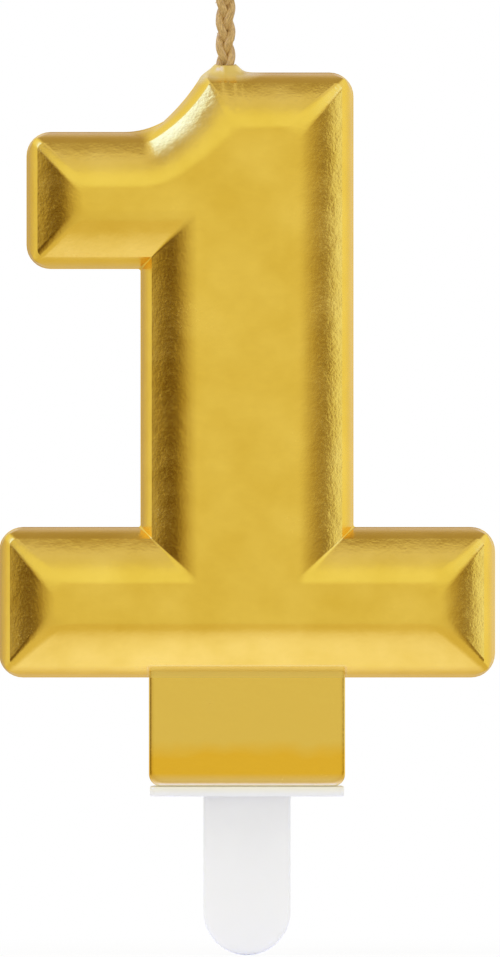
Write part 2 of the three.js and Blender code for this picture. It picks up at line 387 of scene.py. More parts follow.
def outline_mesh(name, corners, steps=8):
    """A clockwise outline as a loop of points, each with its moves."""
    count = len(corners)
    turns = []
    for i, corner in enumerate(corners):
        turns.append(corner_stations(corners[i - 1], corner, corners[(i + 1) % count], steps))
    rows = []
    for i, corner in enumerate(corners):
        rows += turns[i]
        after = corners[(i + 1) % count]
        ends = []
        for station, at in ((turns[i][-1], 0), (turns[(i + 1) % count][0], 1)):
            tangent = edge_at(corner, after, at)[1]
            ends.append([move.dot(tangent) for move in station[1:]])
        length = math.dist((corner.x, corner.z), (after.x, after.z))
        pieces = max(2, round(length / corner.spacing))
        for step in range(1, pieces):
            share = (1 - math.cos(math.pi * step / pieces)) / 2
            place, along = edge_at(corner, after, share)
            slides = [(1 - share) * a + share * b for a, b in zip(*ends)]
            moves = [along * slide for slide in slides]
            rows.append((place, inward(along) + moves[0], *moves[1:]))
    mesh = bpy.data.meshes.new(name)
    loop = [(i, (i + 1) % len(rows)) for i in range(len(rows))]
    mesh.from_pydata([row[0].to_3d() for row in rows], loop, [])
    for column, key in enumerate(MOVES, 1):
        attribute = mesh.attributes.new(key, "FLOAT_VECTOR", "POINT")
        attribute.data.foreach_set("vector", [x for row in rows for x in row[column].to_3d()])
    return mesh


def arc_centre():
    """Centre of the hollow arc between the flag's top and the stem's top."""
    foot = Vector((ARC_FOOT_INSET - STEM_SIDE, FLAG_TOP))
    head = Vector((ARC_HEAD_INSET - STEM_SIDE, NUMERAL_TOP))
    chord = head - foot
    rise = math.sqrt(ARC_RADIUS ** 2 - chord.length_squared / 4)
    return (foot + head) / 2 + Vector((-chord.y, chord.x)).normalized() * rise


def numeral_corners():
    arc = (arc_centre(), ARC_RADIUS)
    on_arc, near_wick = 0.4 * MM, 0.17 * MM
    outer = (CORNER_RADIUS, CREST_RADIUS)
    flag = (CORNER_RADIUS, FLAG_CREST_RADIUS)
    inner = (CREASE_RADIUS, CREASE_CREST_RADIUS)
    arc_foot = (ARC_FOOT_RADIUS, ARC_FOOT_CREST_RADIUS)
    return [
        Corner(-FLAG_SIDE, FLAG_BOTTOM, *flag),
        Corner(-FLAG_SIDE, FLAG_TOP, *flag),
        Corner(ARC_FOOT_INSET - STEM_SIDE, FLAG_TOP, *arc_foot, on_arc, arc),
        Corner(ARC_HEAD_INSET - STEM_SIDE, NUMERAL_TOP, CORNER_RADIUS / 2, CREST_RADIUS, near_wick),
        Corner(STEM_SIDE, NUMERAL_TOP, *outer),
        Corner(STEM_SIDE, BAR_TOP, *inner),
        Corner(BAR_SIDE, BAR_TOP, *outer),
        Corner(BAR_SIDE, BAR_BOTTOM, *outer),
        Corner(-BAR_SIDE, BAR_BOTTOM, *outer),
        Corner(-BAR_SIDE, BAR_TOP, *outer),
        Corner(-STEM_SIDE, BAR_TOP, *inner),
        Corner(-STEM_SIDE, FLAG_BOTTOM, *inner),
    ]


# The crowned plate. Each tree's inputs stand with their starting numbers.

PLATE_INPUTS = {
    "Outline": "Geometry",
    "Start Inset": 0.0,
    "Rim Width": 0.0,
    "Rim Rise": 1 * MM,
    "Rim Shoulder": 0.5 * MM,
    "Shoulder Inset": 0.0,
    "Bevel Width": 0.5 * MM,
    "Bevel Rise": 0.5 * MM,
    "Knee Inset": 0.0,
    "Plateau Lip": 0.1 * MM,
    "Seam Proud": 0.0,
    "Hip Share": 1.0,
    "Hip End": 1.0,
    "Rim Steps": 2,
    "Bevel Steps": 6,
    "Material": "Material",
}


def sample(tree, geometry, value, index):
    inputs = {"Geometry": geometry, "Value": value, "Index": index}
    return result(tree, "GeometryNodeSampleIndex", inputs, data_type="FLOAT_VECTOR")


def profile_curve(tree, steps, start, middle, end):
    points = {"Start": start, "Middle": middle, "End": end}
    return result(tree, "GeometryNodeCurveQuadraticBezier", {"Resolution": steps, **points})


def outline_moves(tree, outline, station):
    """The outline's places and its three kinds of move, here or sampled at a station."""
    fields = [result(tree, "GeometryNodeInputPosition")]
    for name in MOVES:
        fields.append(result(tree, "GeometryNodeInputNamedAttribute", {"Name": name},
                             data_type="FLOAT_VECTOR"))
    if station is None:
        return fields
    return [sample(tree, outline, field, station) for field in fields]


def ring_places(tree, given, plateau, station, distance, height):
    """Where the outline's points go when they move in by a distance and up by a height."""
    hip_end = times(tree, given["Rim Width"], given["Hip End"])
    at_hip = ramp(tree, distance, 0.0, hip_end, 1.0, given["Hip Share"])
    at_crest = ramp(tree, distance, given["Rim Width"], plateau)
    place, inset, rounding, crest = outline_moves(tree, given["Outline"], station)
    inset = scaled(tree, inset, plus(tree, distance, given["Start Inset"]))
    for share in (at_hip, minus(tree, 1.0, at_crest)):
        rounding = scaled(tree, rounding, share)
    crest = scaled(tree, crest, at_crest)
    moved = place
    for move in (inset, rounding, crest, point(tree, z=height)):
        moved = result(tree, "ShaderNodeVectorMath", {0: moved, 1: move}, operation="ADD")
    return moved


def crowned_wall(tree, given, plateau, crown):
    """A grid whose rings climb the rim and the bevel on both sides of the parting plane."""
    hip = point(tree, given["Rim Width"], given["Rim Rise"])
    shoulder = point(tree, given["Shoulder Inset"], given["Rim Shoulder"])
    rim = profile_curve(tree, given["Rim Steps"], point(tree), shoulder, hip)
    knee = point(tree, given["Knee Inset"], crown)
    bevel = profile_curve(tree, given["Bevel Steps"], hip, knee, point(tree, plateau, crown))
    count = result(tree, "GeometryNodeAttributeDomainSize", {"Geometry": given["Outline"]})
    columns = plus(tree, count, 1)
    steps = plus(tree, given["Rim Steps"], given["Bevel Steps"])
    levels = plus(tree, steps, 1)
    rings = reckon(tree, "MULTIPLY_ADD", levels, 2, 1)
    grid = result(tree, "GeometryNodeMeshGrid", {"Vertices X": rings, "Vertices Y": columns})
    index = result(tree, "GeometryNodeInputIndex")
    ring = reckon(tree, "FLOOR", reckon(tree, "DIVIDE", plus(tree, index, 0.5), columns))
    column = minus(tree, index, times(tree, ring, columns))
    station = reckon(tree, "MODULO", column, count)
    signed = minus(tree, ring, levels)
    level = reckon(tree, "ABSOLUTE", signed)
    climb = minus(tree, level, given["Rim Steps"])
    position = result(tree, "GeometryNodeInputPosition")
    on_rim = sample(tree, rim, position, reckon(tree, "MINIMUM", level, given["Rim Steps"]))
    step = reckon(tree, "MINIMUM", reckon(tree, "MAXIMUM", climb, 0), given["Bevel Steps"])
    on_bevel = sample(tree, bevel, position, step)
    past_rim = reckon(tree, "GREATER_THAN", climb, 0)
    inputs = {0: past_rim, 1: on_rim, 2: on_bevel}
    profile = result(tree, "GeometryNodeSwitch", inputs, input_type="VECTOR")
    depth, rise, _ = parts(tree, profile)
    on_lip = reckon(tree, "GREATER_THAN", level, plus(tree, steps, 0.5))
    depth = reckon(tree, "MULTIPLY_ADD", on_lip, given["Plateau Lip"], depth)
    at_seam = reckon(tree, "LESS_THAN", level, 0.5)
    depth = minus(tree, depth, times(tree, at_seam, given["Seam Proud"]))
    height = times(tree, reckon(tree, "SIGN", signed), rise)
    places = ring_places(tree, given, plateau, station, depth, height)
    return result(tree, "GeometryNodeSetPosition", {"Geometry": grid, "Position": places})


def crowned_plate_tree():
    """Rings that follow an outline inwards as they climb, closed by a plateau on each side."""
    tree, given, out = new_geometry_tree("crowned_plate", PLATE_INPUTS)
    crown = plus(tree, given["Rim Rise"], given["Bevel Rise"])
    plateau = plus(tree, given["Rim Width"], given["Bevel Width"])
    join = add(tree, "GeometryNodeJoinGeometry")
    tree.links.new(crowned_wall(tree, given, plateau, crown), join.inputs[0])
    lip = plus(tree, plateau, given["Plateau Lip"])
    places = ring_places(tree, given, plateau, None, lip, 0.0)
    inputs = {"Geometry": given["Outline"], "Position": places}
    edge = result(tree, "GeometryNodeSetPosition", inputs)
    curve = result(tree, "GeometryNodeMeshToCurve", {0: edge})
    flat = result(tree, "GeometryNodeFillCurve", {0: curve}, mode="NGONS")
    for sign in (1, -1):
        lift = point(tree, z=times(tree, crown, sign))
        face = result(tree, "GeometryNodeTransform", {"Geometry": flat, "Translation": lift})
        if sign < 0:
            face = result(tree, "GeometryNodeFlipFaces", {0: face})
        tree.links.new(face, join.inputs[0])
    inputs = {"Geometry": join.outputs[0], "Distance": 1e-6}
    merged = result(tree, "GeometryNodeMergeByDistance", inputs)
    deliver(tree, merged, given["Material"], out)
    return tree


def deliver(tree, geometry, material, out):
    """Ends a tree in real geometry with its material."""
    real = result(tree, "GeometryNodeRealizeInstances", {0: geometry})
    done = add(tree, "GeometryNodeSetMaterial", {"Geometry": real, "Material": material})
    tree.links.new(done.outputs[0], out[0])


def plate(name, corners, tree, values, material, stand=UPRIGHT):
    """A crowned plate over an outline, stood up in X and Z, with its faces turned outwards."""
    values = {**values, "Material": material}
    piece = grow(name, tree, values, outline_mesh(name, corners))
    piece.data.transform(stand)
    face_out(piece.data)
    return piece


def round_edge(half_thickness, edge):
    """Inputs for a flat plate with rounded edges."""
    return {
        "Rim Rise": half_thickness - edge,
        "Rim Shoulder": (half_thickness - edge) / 2,
        "Bevel Width": edge,
        "Bevel Rise": edge,
    }


# The gold skin

def crown_inputs(inset=0.0, rim_steps=20, bevel_steps=22):
    """Inputs for the numeral's crown, or for a smaller one inside it."""
    bevel_rise = CROWN_RISE - RIM_RISE
    return {
        "Start Inset": inset,
        "Rim Width": RIM_WIDTH,
        "Rim Rise": RIM_RISE - inset,
        "Rim Shoulder": RIM_SHOULDER - inset,
        "Shoulder Inset": RIM_SHOULDER * math.tan(PARTING_DRAFT),
        "Bevel Width": BEVEL_WIDTH,
        "Bevel Rise": bevel_rise,
        "Knee Inset": RIM_WIDTH + bevel_rise / math.tan(BEVEL_ANGLE),
        "Plateau Lip": PLATEAU_LIP,
        "Seam Proud": 0.0 if inset else SEAM_PROUD,
        "Hip Share": HIP_SHARE,
        "Hip End": HIP_END,
        "Rim Steps": rim_steps,
        "Bevel Steps": bevel_steps,
    }


def foot_plate(name, tree, material, inset=0.0):
    """The foot block, or a smaller one inside it, rooted in the bar."""
    side = FOOT_SIDE - inset
    low = FOOT_BOTTOM + inset
    top = BAR_BOTTOM + FOOT_ROOT
    corners = [
        Corner(-side, low, FOOT_CORNER),
        Corner(-side, top),
        Corner(side, top),
        Corner(side, low, FOOT_CORNER),
    ]
    values = round_edge(FOOT_HALF_THICKNESS - inset, FOOT_EDGE)
    return plate(name, corners, tree, values, material)


def block(name, low, high):
    work = bmesh.new()
    bmesh.ops.create_cube(work, size=1)
    bmesh.ops.scale(work, vec=high - low, verts=work.verts)
    return from_bmesh(name, work, (low + high) / 2)


def rod(name, radius, low, high, segments=40):
    """An upright cylinder round the wick's axis."""
    work = bmesh.new()
    bmesh.ops.create_cone(work, cap_ends=True, segments=segments, radius1=radius, radius2=radius,
                          depth=high - low)
    return from_bmesh(name, work, (WICK_X, 0, (low + high) / 2))


def from_bmesh(name, work, move):
    """An object from a work mesh that is first moved into its place."""
    bmesh.ops.translate(work, vec=move, verts=work.verts)
    mesh = bpy.data.meshes.new(name)
    work.to_mesh(mesh)
    work.free()
    return new_object(name, mesh)


def flow_lacquer(mesh):
    """Draws the lacquer up the wick's root and lets three runs dry down the front below it."""
    count = len(mesh.vertices)
    places = np.empty(count * 3)
    mesh.vertices.foreach_get("co", places)
    places = places.reshape(-1, 3)
    x, y, z = places.T
    reach = np.maximum(np.hypot(x - WICK_X, y) - WICK_RADIUS, 0)
    near_top = np.clip((z - (NUMERAL_TOP - BEAD_SKIRT)) / BEAD_FADE, 0, 1)
    places[:, 2] += BEAD_HEIGHT * np.exp(-(reach / BEAD_FALL) ** BEAD_POWER) * near_top
    for beside, width, length, height in RUNS:
        fall = np.clip((NUMERAL_TOP - z) / length, 0, 1)
        across = (x - WICK_X - beside) / (width * (1 - RUN_TAPER * fall))
        run = height * np.exp(-across ** 2) * np.sqrt(1 - fall ** 3) * (y < 0)
        places[:, 2] += RUN_UP * run
        places[:, 1] -= RUN_FORWARD * run
    mesh.vertices.foreach_set("co", places.ravel())
    mesh.update()


def make_coat(tree, material):
    skin = plate("gold_skin", numeral_corners(), tree, crown_inputs(), material)
    flow_lacquer(skin.data)
    combine(skin, [foot_plate("foot_skin", tree, material)], "UNION")
    inner_crown = crown_inputs(SKIN, rim_steps=6, bevel_steps=8)
    hollow = plate("hollow", numeral_corners(), tree, inner_crown, material)
    opening_side = FOOT_SIDE - FOOT_CORNER - TURN_UNDER
    opening_depth = FOOT_HALF_THICKNESS - FOOT_EDGE - TURN_UNDER
    sole_low = Vector((-opening_side, -opening_depth, FOOT_BOTTOM - ROOT))
    sole_high = Vector((opening_side, opening_depth, FOOT_BOTTOM + SKIN + ROOT))
    combine(hollow, [foot_plate("foot_hollow", tree, material, SKIN)], "UNION")
    combine(hollow, [block("sole_opening", sole_low, sole_high)], "UNION")
    bore = rod("wick_bore", BORE_SHARE * WICK_RADIUS, NUMERAL_TOP - BORE_DEPTH,
               NUMERAL_TOP + BORE_CLEARANCE)
    combine(skin, [hollow, bore], "DIFFERENCE")
    finish_surface(skin, material, SKIN_CREASE)
    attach(skin, "candle_body")
    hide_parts("gold_coat")


# The wick

PLAIT_INPUTS = {
    "Geometry": "Geometry",
    "Strands": 3,
    "Points": 420,
    "Foot": "Vector",
    "Length": wick_high.z - wick_low.z,
    "Pitch": 7.2 * MM,
    "Half Width": WICK_RADIUS - STRAND_RADIUS,
    "Half Depth": 0.3 * MM,
    "Strand Radius": STRAND_RADIUS,
    "Ply Depth": 0.04 * MM,
    "Ply Pitch": 1.6 * MM,
    "Plies": 4,
    "Tip Length": 0.7 * MM,
    "Tip Share": 0.62,
    "Fibres": 1e6,
    "Seed": 3,
    "Material": "Material",
}


def plait_tree():
    """Strands that cross over each other as a flat plait, each twisted from plies, with a few
    loose fibres waxed down along them."""
    tree, given, out = new_geometry_tree("plait", PLAIT_INPUTS)
    top = point(tree, z=given["Length"])
    line = result(tree, "GeometryNodeCurvePrimitiveLine", {"End": top})
    line = result(tree, "GeometryNodeResampleCurve", {"Curve": line, "Count": given["Points"]})
    copies = add(tree, "GeometryNodeDuplicateElements",
                 {"Geometry": line, "Amount": given["Strands"]}, domain="SPLINE")
    along = add(tree, "GeometryNodeSplineParameter").outputs["Length"]
    lead = reckon(tree, "DIVIDE", copies.outputs["Duplicate Index"], given["Strands"])
    turn = plus(tree, reckon(tree, "DIVIDE", along, given["Pitch"]), lead)
    turn = times(tree, turn, math.tau)
    left = minus(tree, given["Length"], along)
    close = ramp(tree, left, 0.0, given["Tip Length"], given["Tip Share"], 1.0)
    across = times(tree, reckon(tree, "COSINE", turn), given["Half Width"])
    deep = reckon(tree, "SINE", times(tree, turn, 2))
    deep = times(tree, deep, given["Half Depth"], close)
    offset = point(tree, times(tree, across, close), deep)
    inputs = {"Geometry": copies.outputs[0], "Offset": offset}
    strands = result(tree, "GeometryNodeSetPosition", inputs)
    rail = add(tree, "GeometryNodeCaptureAttribute", {"Geometry": strands}, domain="POINT")
    rail.capture_items.new("FLOAT", "along")
    tree.links.new(along, rail.inputs[1])
    inputs = {"Resolution": 20, "Radius": given["Strand Radius"]}
    ring = result(tree, "GeometryNodeCurvePrimitiveCircle", inputs)
    section = add(tree, "GeometryNodeCaptureAttribute", {"Geometry": ring}, domain="POINT")
    section.capture_items.new("FLOAT", "around")
    tree.links.new(add(tree, "GeometryNodeSplineParameter").outputs["Factor"], section.inputs[1])
    body = sweep(tree, rail.outputs[0], section.outputs[0])
    twist = reckon(tree, "DIVIDE", rail.outputs[1], given["Ply Pitch"])
    lobe = reckon(tree, "MULTIPLY_ADD", section.outputs[1], given["Plies"], twist)
    ridge = reckon(tree, "ABSOLUTE", reckon(tree, "SINE", times(tree, lobe, math.pi)))
    ridge = times(tree, minus(tree, ridge, 1.0), given["Ply Depth"])
    normal = result(tree, "GeometryNodeInputNormal")
    inputs = {"Geometry": body, "Offset": scaled(tree, normal, ridge)}
    body = result(tree, "GeometryNodeSetPosition", inputs)
    for name, value in (("along", rail.outputs[1]), ("around", section.outputs[1])):
        inputs = {"Geometry": body, "Name": name, "Value": value}
        body = result(tree, "GeometryNodeStoreNamedAttribute", inputs, domain="POINT")
    join = add(tree, "GeometryNodeJoinGeometry")
    tree.links.new(body, join.inputs[0])
    tree.links.new(loose_fibres(tree, given, body), join.inputs[0])
    move = {"Geometry": join.outputs[0], "Translation": given["Foot"]}
    placed = result(tree, "GeometryNodeTransform", move)
    deliver(tree, placed, given["Material"], out)
    return tree


def loose_fibres(tree, given, body):
    """Short bent fibres that lie along the strands."""
    spread = add(tree, "GeometryNodeDistributePointsOnFaces",
                 {"Mesh": body, "Density": given["Fibres"], "Seed": given["Seed"]})
    bow = profile_curve(tree, 5, *FIBRE_BEND)
    inputs = {"Resolution": 4, "Radius": FIBRE_RADIUS}
    hair = result(tree, "GeometryNodeCurvePrimitiveCircle", inputs)
    inputs = {2: FIBRE_SIZES[0], 3: FIBRE_SIZES[1], "Seed": given["Seed"]}
    size = add(tree, "FunctionNodeRandomValue", inputs).outputs[1]
    inputs = {0: [-most for most in FIBRE_LEAN], 1: FIBRE_LEAN, "Seed": given["Seed"]}
    lean = result(tree, "FunctionNodeRandomValue", inputs, data_type="FLOAT_VECTOR")
    inputs = {"Points": spread.outputs[0], "Instance": sweep(tree, bow, hair),
              "Rotation": lean, "Scale": size}
    return result(tree, "GeometryNodeInstanceOnPoints", inputs)


def make_wick(material):
    values = {"Foot": (WICK_X, 0.0, wick_low.z), "Material": material}
    wick = grow("plaited_wick", plait_tree(), values)
    finish_surface(wick, material, WICK_CREASE)
    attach(wick, "candle_body")
    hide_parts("wick")


# The pick

BARB_INPUTS = {
    "Geometry": "Geometry",
    "Count": 3,
    "First": FLANGE_THICKNESS + BARB_PITCH / 2,
    "Pitch": BARB_PITCH,
    "Length": BARB_LENGTH,
    "Height": 0.25 * MM,
    "Half Thickness": TONGUE_HALF_THICKNESS,
    "Half Width": TONGUE_SIDE - TONGUE_TAPER * (BARB_PITCH / 2 + BARB_LENGTH) / TONGUE_LENGTH,
    "Taper": TONGUE_TAPER / TONGUE_LENGTH,
    "Crest Radius": 0.06 * MM,
    "Material": "Material",
}


def barb_row_tree():
    """A row of wedges across both faces of the tongue, each wide at its lower side."""
    tree, given, out = new_geometry_tree("barb_row", BARB_INPUTS)
    half, length = given["Half Thickness"], given["Length"]
    proud = plus(tree, half, given["Height"])
    wedge = result(tree, "GeometryNodeCurvePrimitiveQuadrilateral", mode="POINTS", inputs={
        "Point 1": point(tree, times(tree, proud, -1)),
        "Point 2": point(tree, proud),
        "Point 3": point(tree, half, length),
        "Point 4": point(tree, times(tree, half, -1), length),
    })
    inputs = {"Curve": wedge, "Count": 3, "Radius": given["Crest Radius"]}
    wedge = result(tree, "GeometryNodeFilletCurve", inputs, mode="POLY")
    span = result(tree, "GeometryNodeCurvePrimitiveLine", {"Start": (-1, 0, 0), "End": (1, 0, 0)})
    bar = sweep(tree, span, wedge)
    inputs = {"Count": given["Count"], "Start Location": point(tree, z=given["First"]),
              "Offset": point(tree, z=given["Pitch"])}
    row = result(tree, "GeometryNodeMeshLine", inputs)
    order = result(tree, "GeometryNodeInputIndex")
    drop = times(tree, order, given["Pitch"], given["Taper"])
    size = point(tree, minus(tree, given["Half Width"], drop), 1.0, 1.0)
    inputs = {"Points": row, "Instance": bar, "Scale": size}
    barbs = result(tree, "GeometryNodeInstanceOnPoints", inputs)
    deliver(tree, barbs, given["Material"], out)
    return tree


def blade_corners():
    centre = Vector((0, BLADE_TIP + BLADE_SIDE))
    arc = (centre, BLADE_SIDE)
    fine = 0.35 * MM
    return [
        Corner(-BLADE_SIDE, FLANGE_THICKNESS / 2),
        Corner(BLADE_SIDE, FLANGE_THICKNESS / 2),
        Corner(BLADE_SIDE, centre.y, spacing=fine, arc=arc),
        Corner(0, BLADE_TIP, spacing=fine, arc=arc),
        Corner(-BLADE_SIDE, centre.y),
    ]


def tongue_corners():
    low = FLANGE_THICKNESS - ROOT
    narrow = TONGUE_SIDE - TONGUE_TAPER
    return [
        Corner(-TONGUE_SIDE, low),
        Corner(-narrow, TONGUE_TOP, TONGUE_TAPER),
        Corner(narrow, TONGUE_TOP, TONGUE_TAPER),
        Corner(TONGUE_SIDE, low),
    ]


def flange_corners():
    x, y = FLANGE_SIDE, FLANGE_HALF_DEPTH
    return [Corner(*place, FLANGE_CORNER) for place in ((-x, -y), (-x, y), (x, y), (x, -y))]


def make_pick(tree, material):
    flat = Matrix.Translation((0, 0, FLANGE_THICKNESS / 2))
    pick = plate("cake_pick", flange_corners(), tree,
                 round_edge(FLANGE_THICKNESS / 2, FLANGE_EDGE), material, flat)
    blade = plate("blade", blade_corners(), tree,
                  round_edge(BLADE_HALF_THICKNESS, BLADE_EDGE), material)
    tongue = plate("tongue", tongue_corners(), tree,
                   round_edge(TONGUE_HALF_THICKNESS, TONGUE_EDGE), material)
    barbs = grow("barbs", barb_row_tree(), {"Material": material})
    face_out(barbs.data)
    combine(tongue, [barbs], "UNION")
    combine(pick, [blade, tongue], "UNION")
    finish_surface(pick, material)
    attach(pick, "pick_body")
    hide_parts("pick")


# Finishes

# The sandy skin's coarser layer, the peaks that are its speckle, and the cloud's contrast
COARSE_SCALE = 0.41
COARSE_DEPTH = 0.8
SPECKLE_EDGE = (0.52, 0.74)
CLOUD_EDGE = (0.3, 0.7)


def grain_group():
    """A fine sandy skin. Height is in metres, and speckle picks out single grains."""
    tree, given, out = new_tree("sandy_grain", "ShaderNodeTree", {
        "Vector": "Vector",
        "Grain Size": 0.2 * MM,
        "Depth": 0.01 * MM,
    }, {"Height": 0.0, "Speckle": 0.0})
    scale = reckon(tree, "DIVIDE", 1.0, given["Grain Size"])
    fine = noise(tree, given["Vector"], scale, 1.0, 0.6)
    coarse = noise(tree, given["Vector"], times(tree, scale, COARSE_SCALE), 1.0)
    height = reckon(tree, "MULTIPLY_ADD", coarse, COARSE_DEPTH, fine)
    tree.links.new(times(tree, height, given["Depth"]), out["Height"])
    tree.links.new(ramp(tree, fine, *SPECKLE_EDGE), out["Speckle"])
    return tree


def cloud_group():
    """Slow unevenness over a surface, from 0 to 1."""
    tree, given, out = new_tree("slow_cloud", "ShaderNodeTree", {
        "Vector": "Vector",
        "Cloud Size": 6 * MM,
    }, {"Mask": 0.0})
    scale = reckon(tree, "DIVIDE", 1.0, given["Cloud Size"])
    cloud = noise(tree, given["Vector"], scale, 3.0, 0.55)
    tree.links.new(ramp(tree, cloud, *CLOUD_EDGE), out["Mask"])
    return tree


def use_group(tree, group, inputs):
    """The outputs of a node group."""
    return add(tree, "ShaderNodeGroup", inputs, node_tree=group).outputs


def new_material(name):
    """A material with its tree, its Principled node and Object coordinates."""
    material = bpy.data.materials.new(name)
    material.use_nodes = True
    tree = material.node_tree
    principled = tree.nodes["Principled BSDF"]
    place = add(tree, "ShaderNodeTexCoord").outputs["Object"]
    return material, tree, principled, place


def bump(tree, height, strength=1.0):
    inputs = {"Height": height, "Strength": strength, "Distance": 1.0}
    return result(tree, "ShaderNodeBump", inputs)


# The lacquer's colours and the painted light and shade laid over them, as linear red, green and
# blue
LACQUER = ((0.895, 0.575, 0.056), (0.985, 0.66, 0.086))
# the foot a little darker and bluer, partly painted shade for its recess under the bar
FOOT_SHADED_TONE = (0.905, 0.605, 0.090)
# a deeper orange low on the foot
LOW_FOOT_ORANGE = (0.935, 0.53, 0.022)
# painted reflection of the white flange, which pales the foot above its sole
FLANGE_REFLECTION_TINT = (0.83, 0.66, 0.27)
# painted light on the strip over the foot, from its lower colour to its paler top line
SEAT_PAINTED_LIGHT = ((0.80, 0.56, 0.10), (0.95, 0.72, 0.18))
# a painted highlight round the wick's root
ROOT_PAINTED_HIGHLIGHT = (0.80, 0.58, 0.13)
BARE_LACQUER = (0.98, 0.90, 0.66)

# Where the colour changes, as the heights or distances between which it does: the deeper orange
# low on the foot with its wavy edge, the paler band above the sole, which is a painted reflection
# of the white flange, and the bare edge below it, the foot's top, under which the foot is partly
# painted shade, the strip over the foot that is painted light and ends in a paler painted line,
# and the painted highlight round the wick
# the deeper orange low on the foot: its edge, its wave and its share
LOW_ORANGE_EDGE = (3.9 * MM, 5.5 * MM)
LOW_ORANGE_WAVE_SIZE = 3.4 * MM
LOW_ORANGE_WAVE_HEIGHT = 2.2 * MM
LOW_ORANGE_SHARE = 0.9
# the painted reflection of the white flange: its share and its heights
FLANGE_REFLECTION_SHARE = 0.85
FLANGE_REFLECTION_EDGE = (FOOT_BOTTOM + 0.1 * MM, FOOT_BOTTOM + 1.3 * MM)
BARE_EDGE = (FOOT_BOTTOM + 0.12 * MM, FOOT_BOTTOM + 0.34 * MM)
FOOT_TOP = (FOOT_BOTTOM + FOOT_HEIGHT, FOOT_BOTTOM + FOOT_HEIGHT + 0.2 * MM)
SEAT_SIDE = (FOOT_SIDE - 0.3 * MM, FOOT_SIDE + 0.3 * MM)
SEAT_START = (BAR_BOTTOM - 0.1 * MM, BAR_BOTTOM + 0.05 * MM)
SEAT_LINE = (BAR_BOTTOM + 0.55 * MM, BAR_BOTTOM + 0.95 * MM)
SEAT_END = (BAR_BOTTOM + 1.0 * MM, BAR_BOTTOM + 1.3 * MM)
ROOT_REACH = (2.6 * MM, 4.2 * MM)
ROOT_START = (NUMERAL_TOP - 1.3 * MM, NUMERAL_TOP - 0.8 * MM)


def gold_material(grain, cloud):
    material, tree, principled, place = new_material("gold_lacquer")
    sand = use_group(tree, grain, {"Vector": place, "Grain Size": 0.28 * MM, "Depth": 0.01 * MM})
    waves = use_group(tree, grain, {"Vector": place, "Grain Size": 1.7 * MM, "Depth": 0.02 * MM})
    height = plus(tree, sand["Height"], waves["Height"])
    haze = use_group(tree, cloud, {"Vector": place, "Cloud Size": 5 * MM})["Mask"]
    x, y, z = parts(tree, place)
    # a deeper orange low on the foot, under a wavy edge
    wave = minus(tree, noise(tree, place, 1 / LOW_ORANGE_WAVE_SIZE, 2.0), 0.5)
    level = reckon(tree, "MULTIPLY_ADD", wave, LOW_ORANGE_WAVE_HEIGHT, z)
    pool = times(tree, fade(tree, level, *LOW_ORANGE_EDGE), LOW_ORANGE_SHARE)
    # the strip over the foot, under the bar, where the colour is painted light and the lacquer matt
    over_foot = times(tree, fade(tree, reckon(tree, "ABSOLUTE", x), *SEAT_SIDE),
                      ramp(tree, z, *SEAT_START), fade(tree, z, *SEAT_END))
    from_wick = distance_across(tree, minus(tree, x, WICK_X), y)
    # painted highlight: a paler, less shiny patch round the wick's root
    root_highlight = times(tree, fade(tree, from_wick, *ROOT_REACH), ramp(tree, z, *ROOT_START))
    bare = fade(tree, z, *BARE_EDGE)
    colour = tint(tree, haze, *LACQUER)
    for share, over in (
            # partly painted shade: the foot darker and bluer below its top, in its recess under the
            # bar
            (fade(tree, z, *FOOT_TOP), FOOT_SHADED_TONE),
            (pool, LOW_FOOT_ORANGE),
            # painted reflection: the foot paler towards its sole, as if the white flange showed in
            # it
            (ramp(tree, z, *FLANGE_REFLECTION_EDGE, FLANGE_REFLECTION_SHARE, 0.0), FLANGE_REFLECTION_TINT),
            # painted light: a paler strip over the foot, paler still at its top line
            (over_foot, tint(tree, ramp(tree, z, *SEAT_LINE), *SEAT_PAINTED_LIGHT)),
            # painted highlight round the wick's root
            (root_highlight, ROOT_PAINTED_HIGHLIGHT),
            (bare, BARE_LACQUER)):
        colour = tint(tree, share, colour, over)
    matt = reckon(tree, "MAXIMUM", reckon(tree, "MAXIMUM", over_foot, root_highlight), bare)
    rough = blend(tree, haze, 0.17, 0.22)
    set_inputs(tree, principled, {
        "Base Color": colour,
        "Metallic": reckon(tree, "MULTIPLY_ADD", matt, -0.8, 1.0),
        "Roughness": reckon(tree, "MULTIPLY_ADD", sand["Speckle"], 0.06, rough),
        "Specular Tint": (1.0, 0.86, 0.5, 1),
        "Coat Weight": 0.18,
        "Coat Roughness": 0.12,
        "Normal": bump(tree, height),
    })
    return material


def wax_material(grain, cloud):
    material, tree, principled, place = new_material("paraffin")
    pits = use_group(tree, grain, {"Vector": place, "Grain Size": 0.5 * MM, "Depth": 0.02 * MM})
    haze = use_group(tree, cloud, {"Vector": place, "Cloud Size": 4 * MM})["Mask"]
    set_inputs(tree, principled, {
        "Base Color": tint(tree, haze, (0.86, 0.80, 0.66), (0.93, 0.89, 0.78)),
        "Roughness": blend(tree, haze, 0.5, 0.62),
        "Subsurface Weight": 0.3,
        "Subsurface Radius": (1.0, 0.8, 0.5),
        "Subsurface Scale": 1 * MM,
        "Normal": bump(tree, pits["Height"]),
    })
    return material


# Round and along a strand, how the cotton's threads are drawn out, and their contrast
THREAD_ROUND = 3.2
THREAD_LENGTH = 0.55 * MM
THREAD_EDGE = (0.36, 0.66)


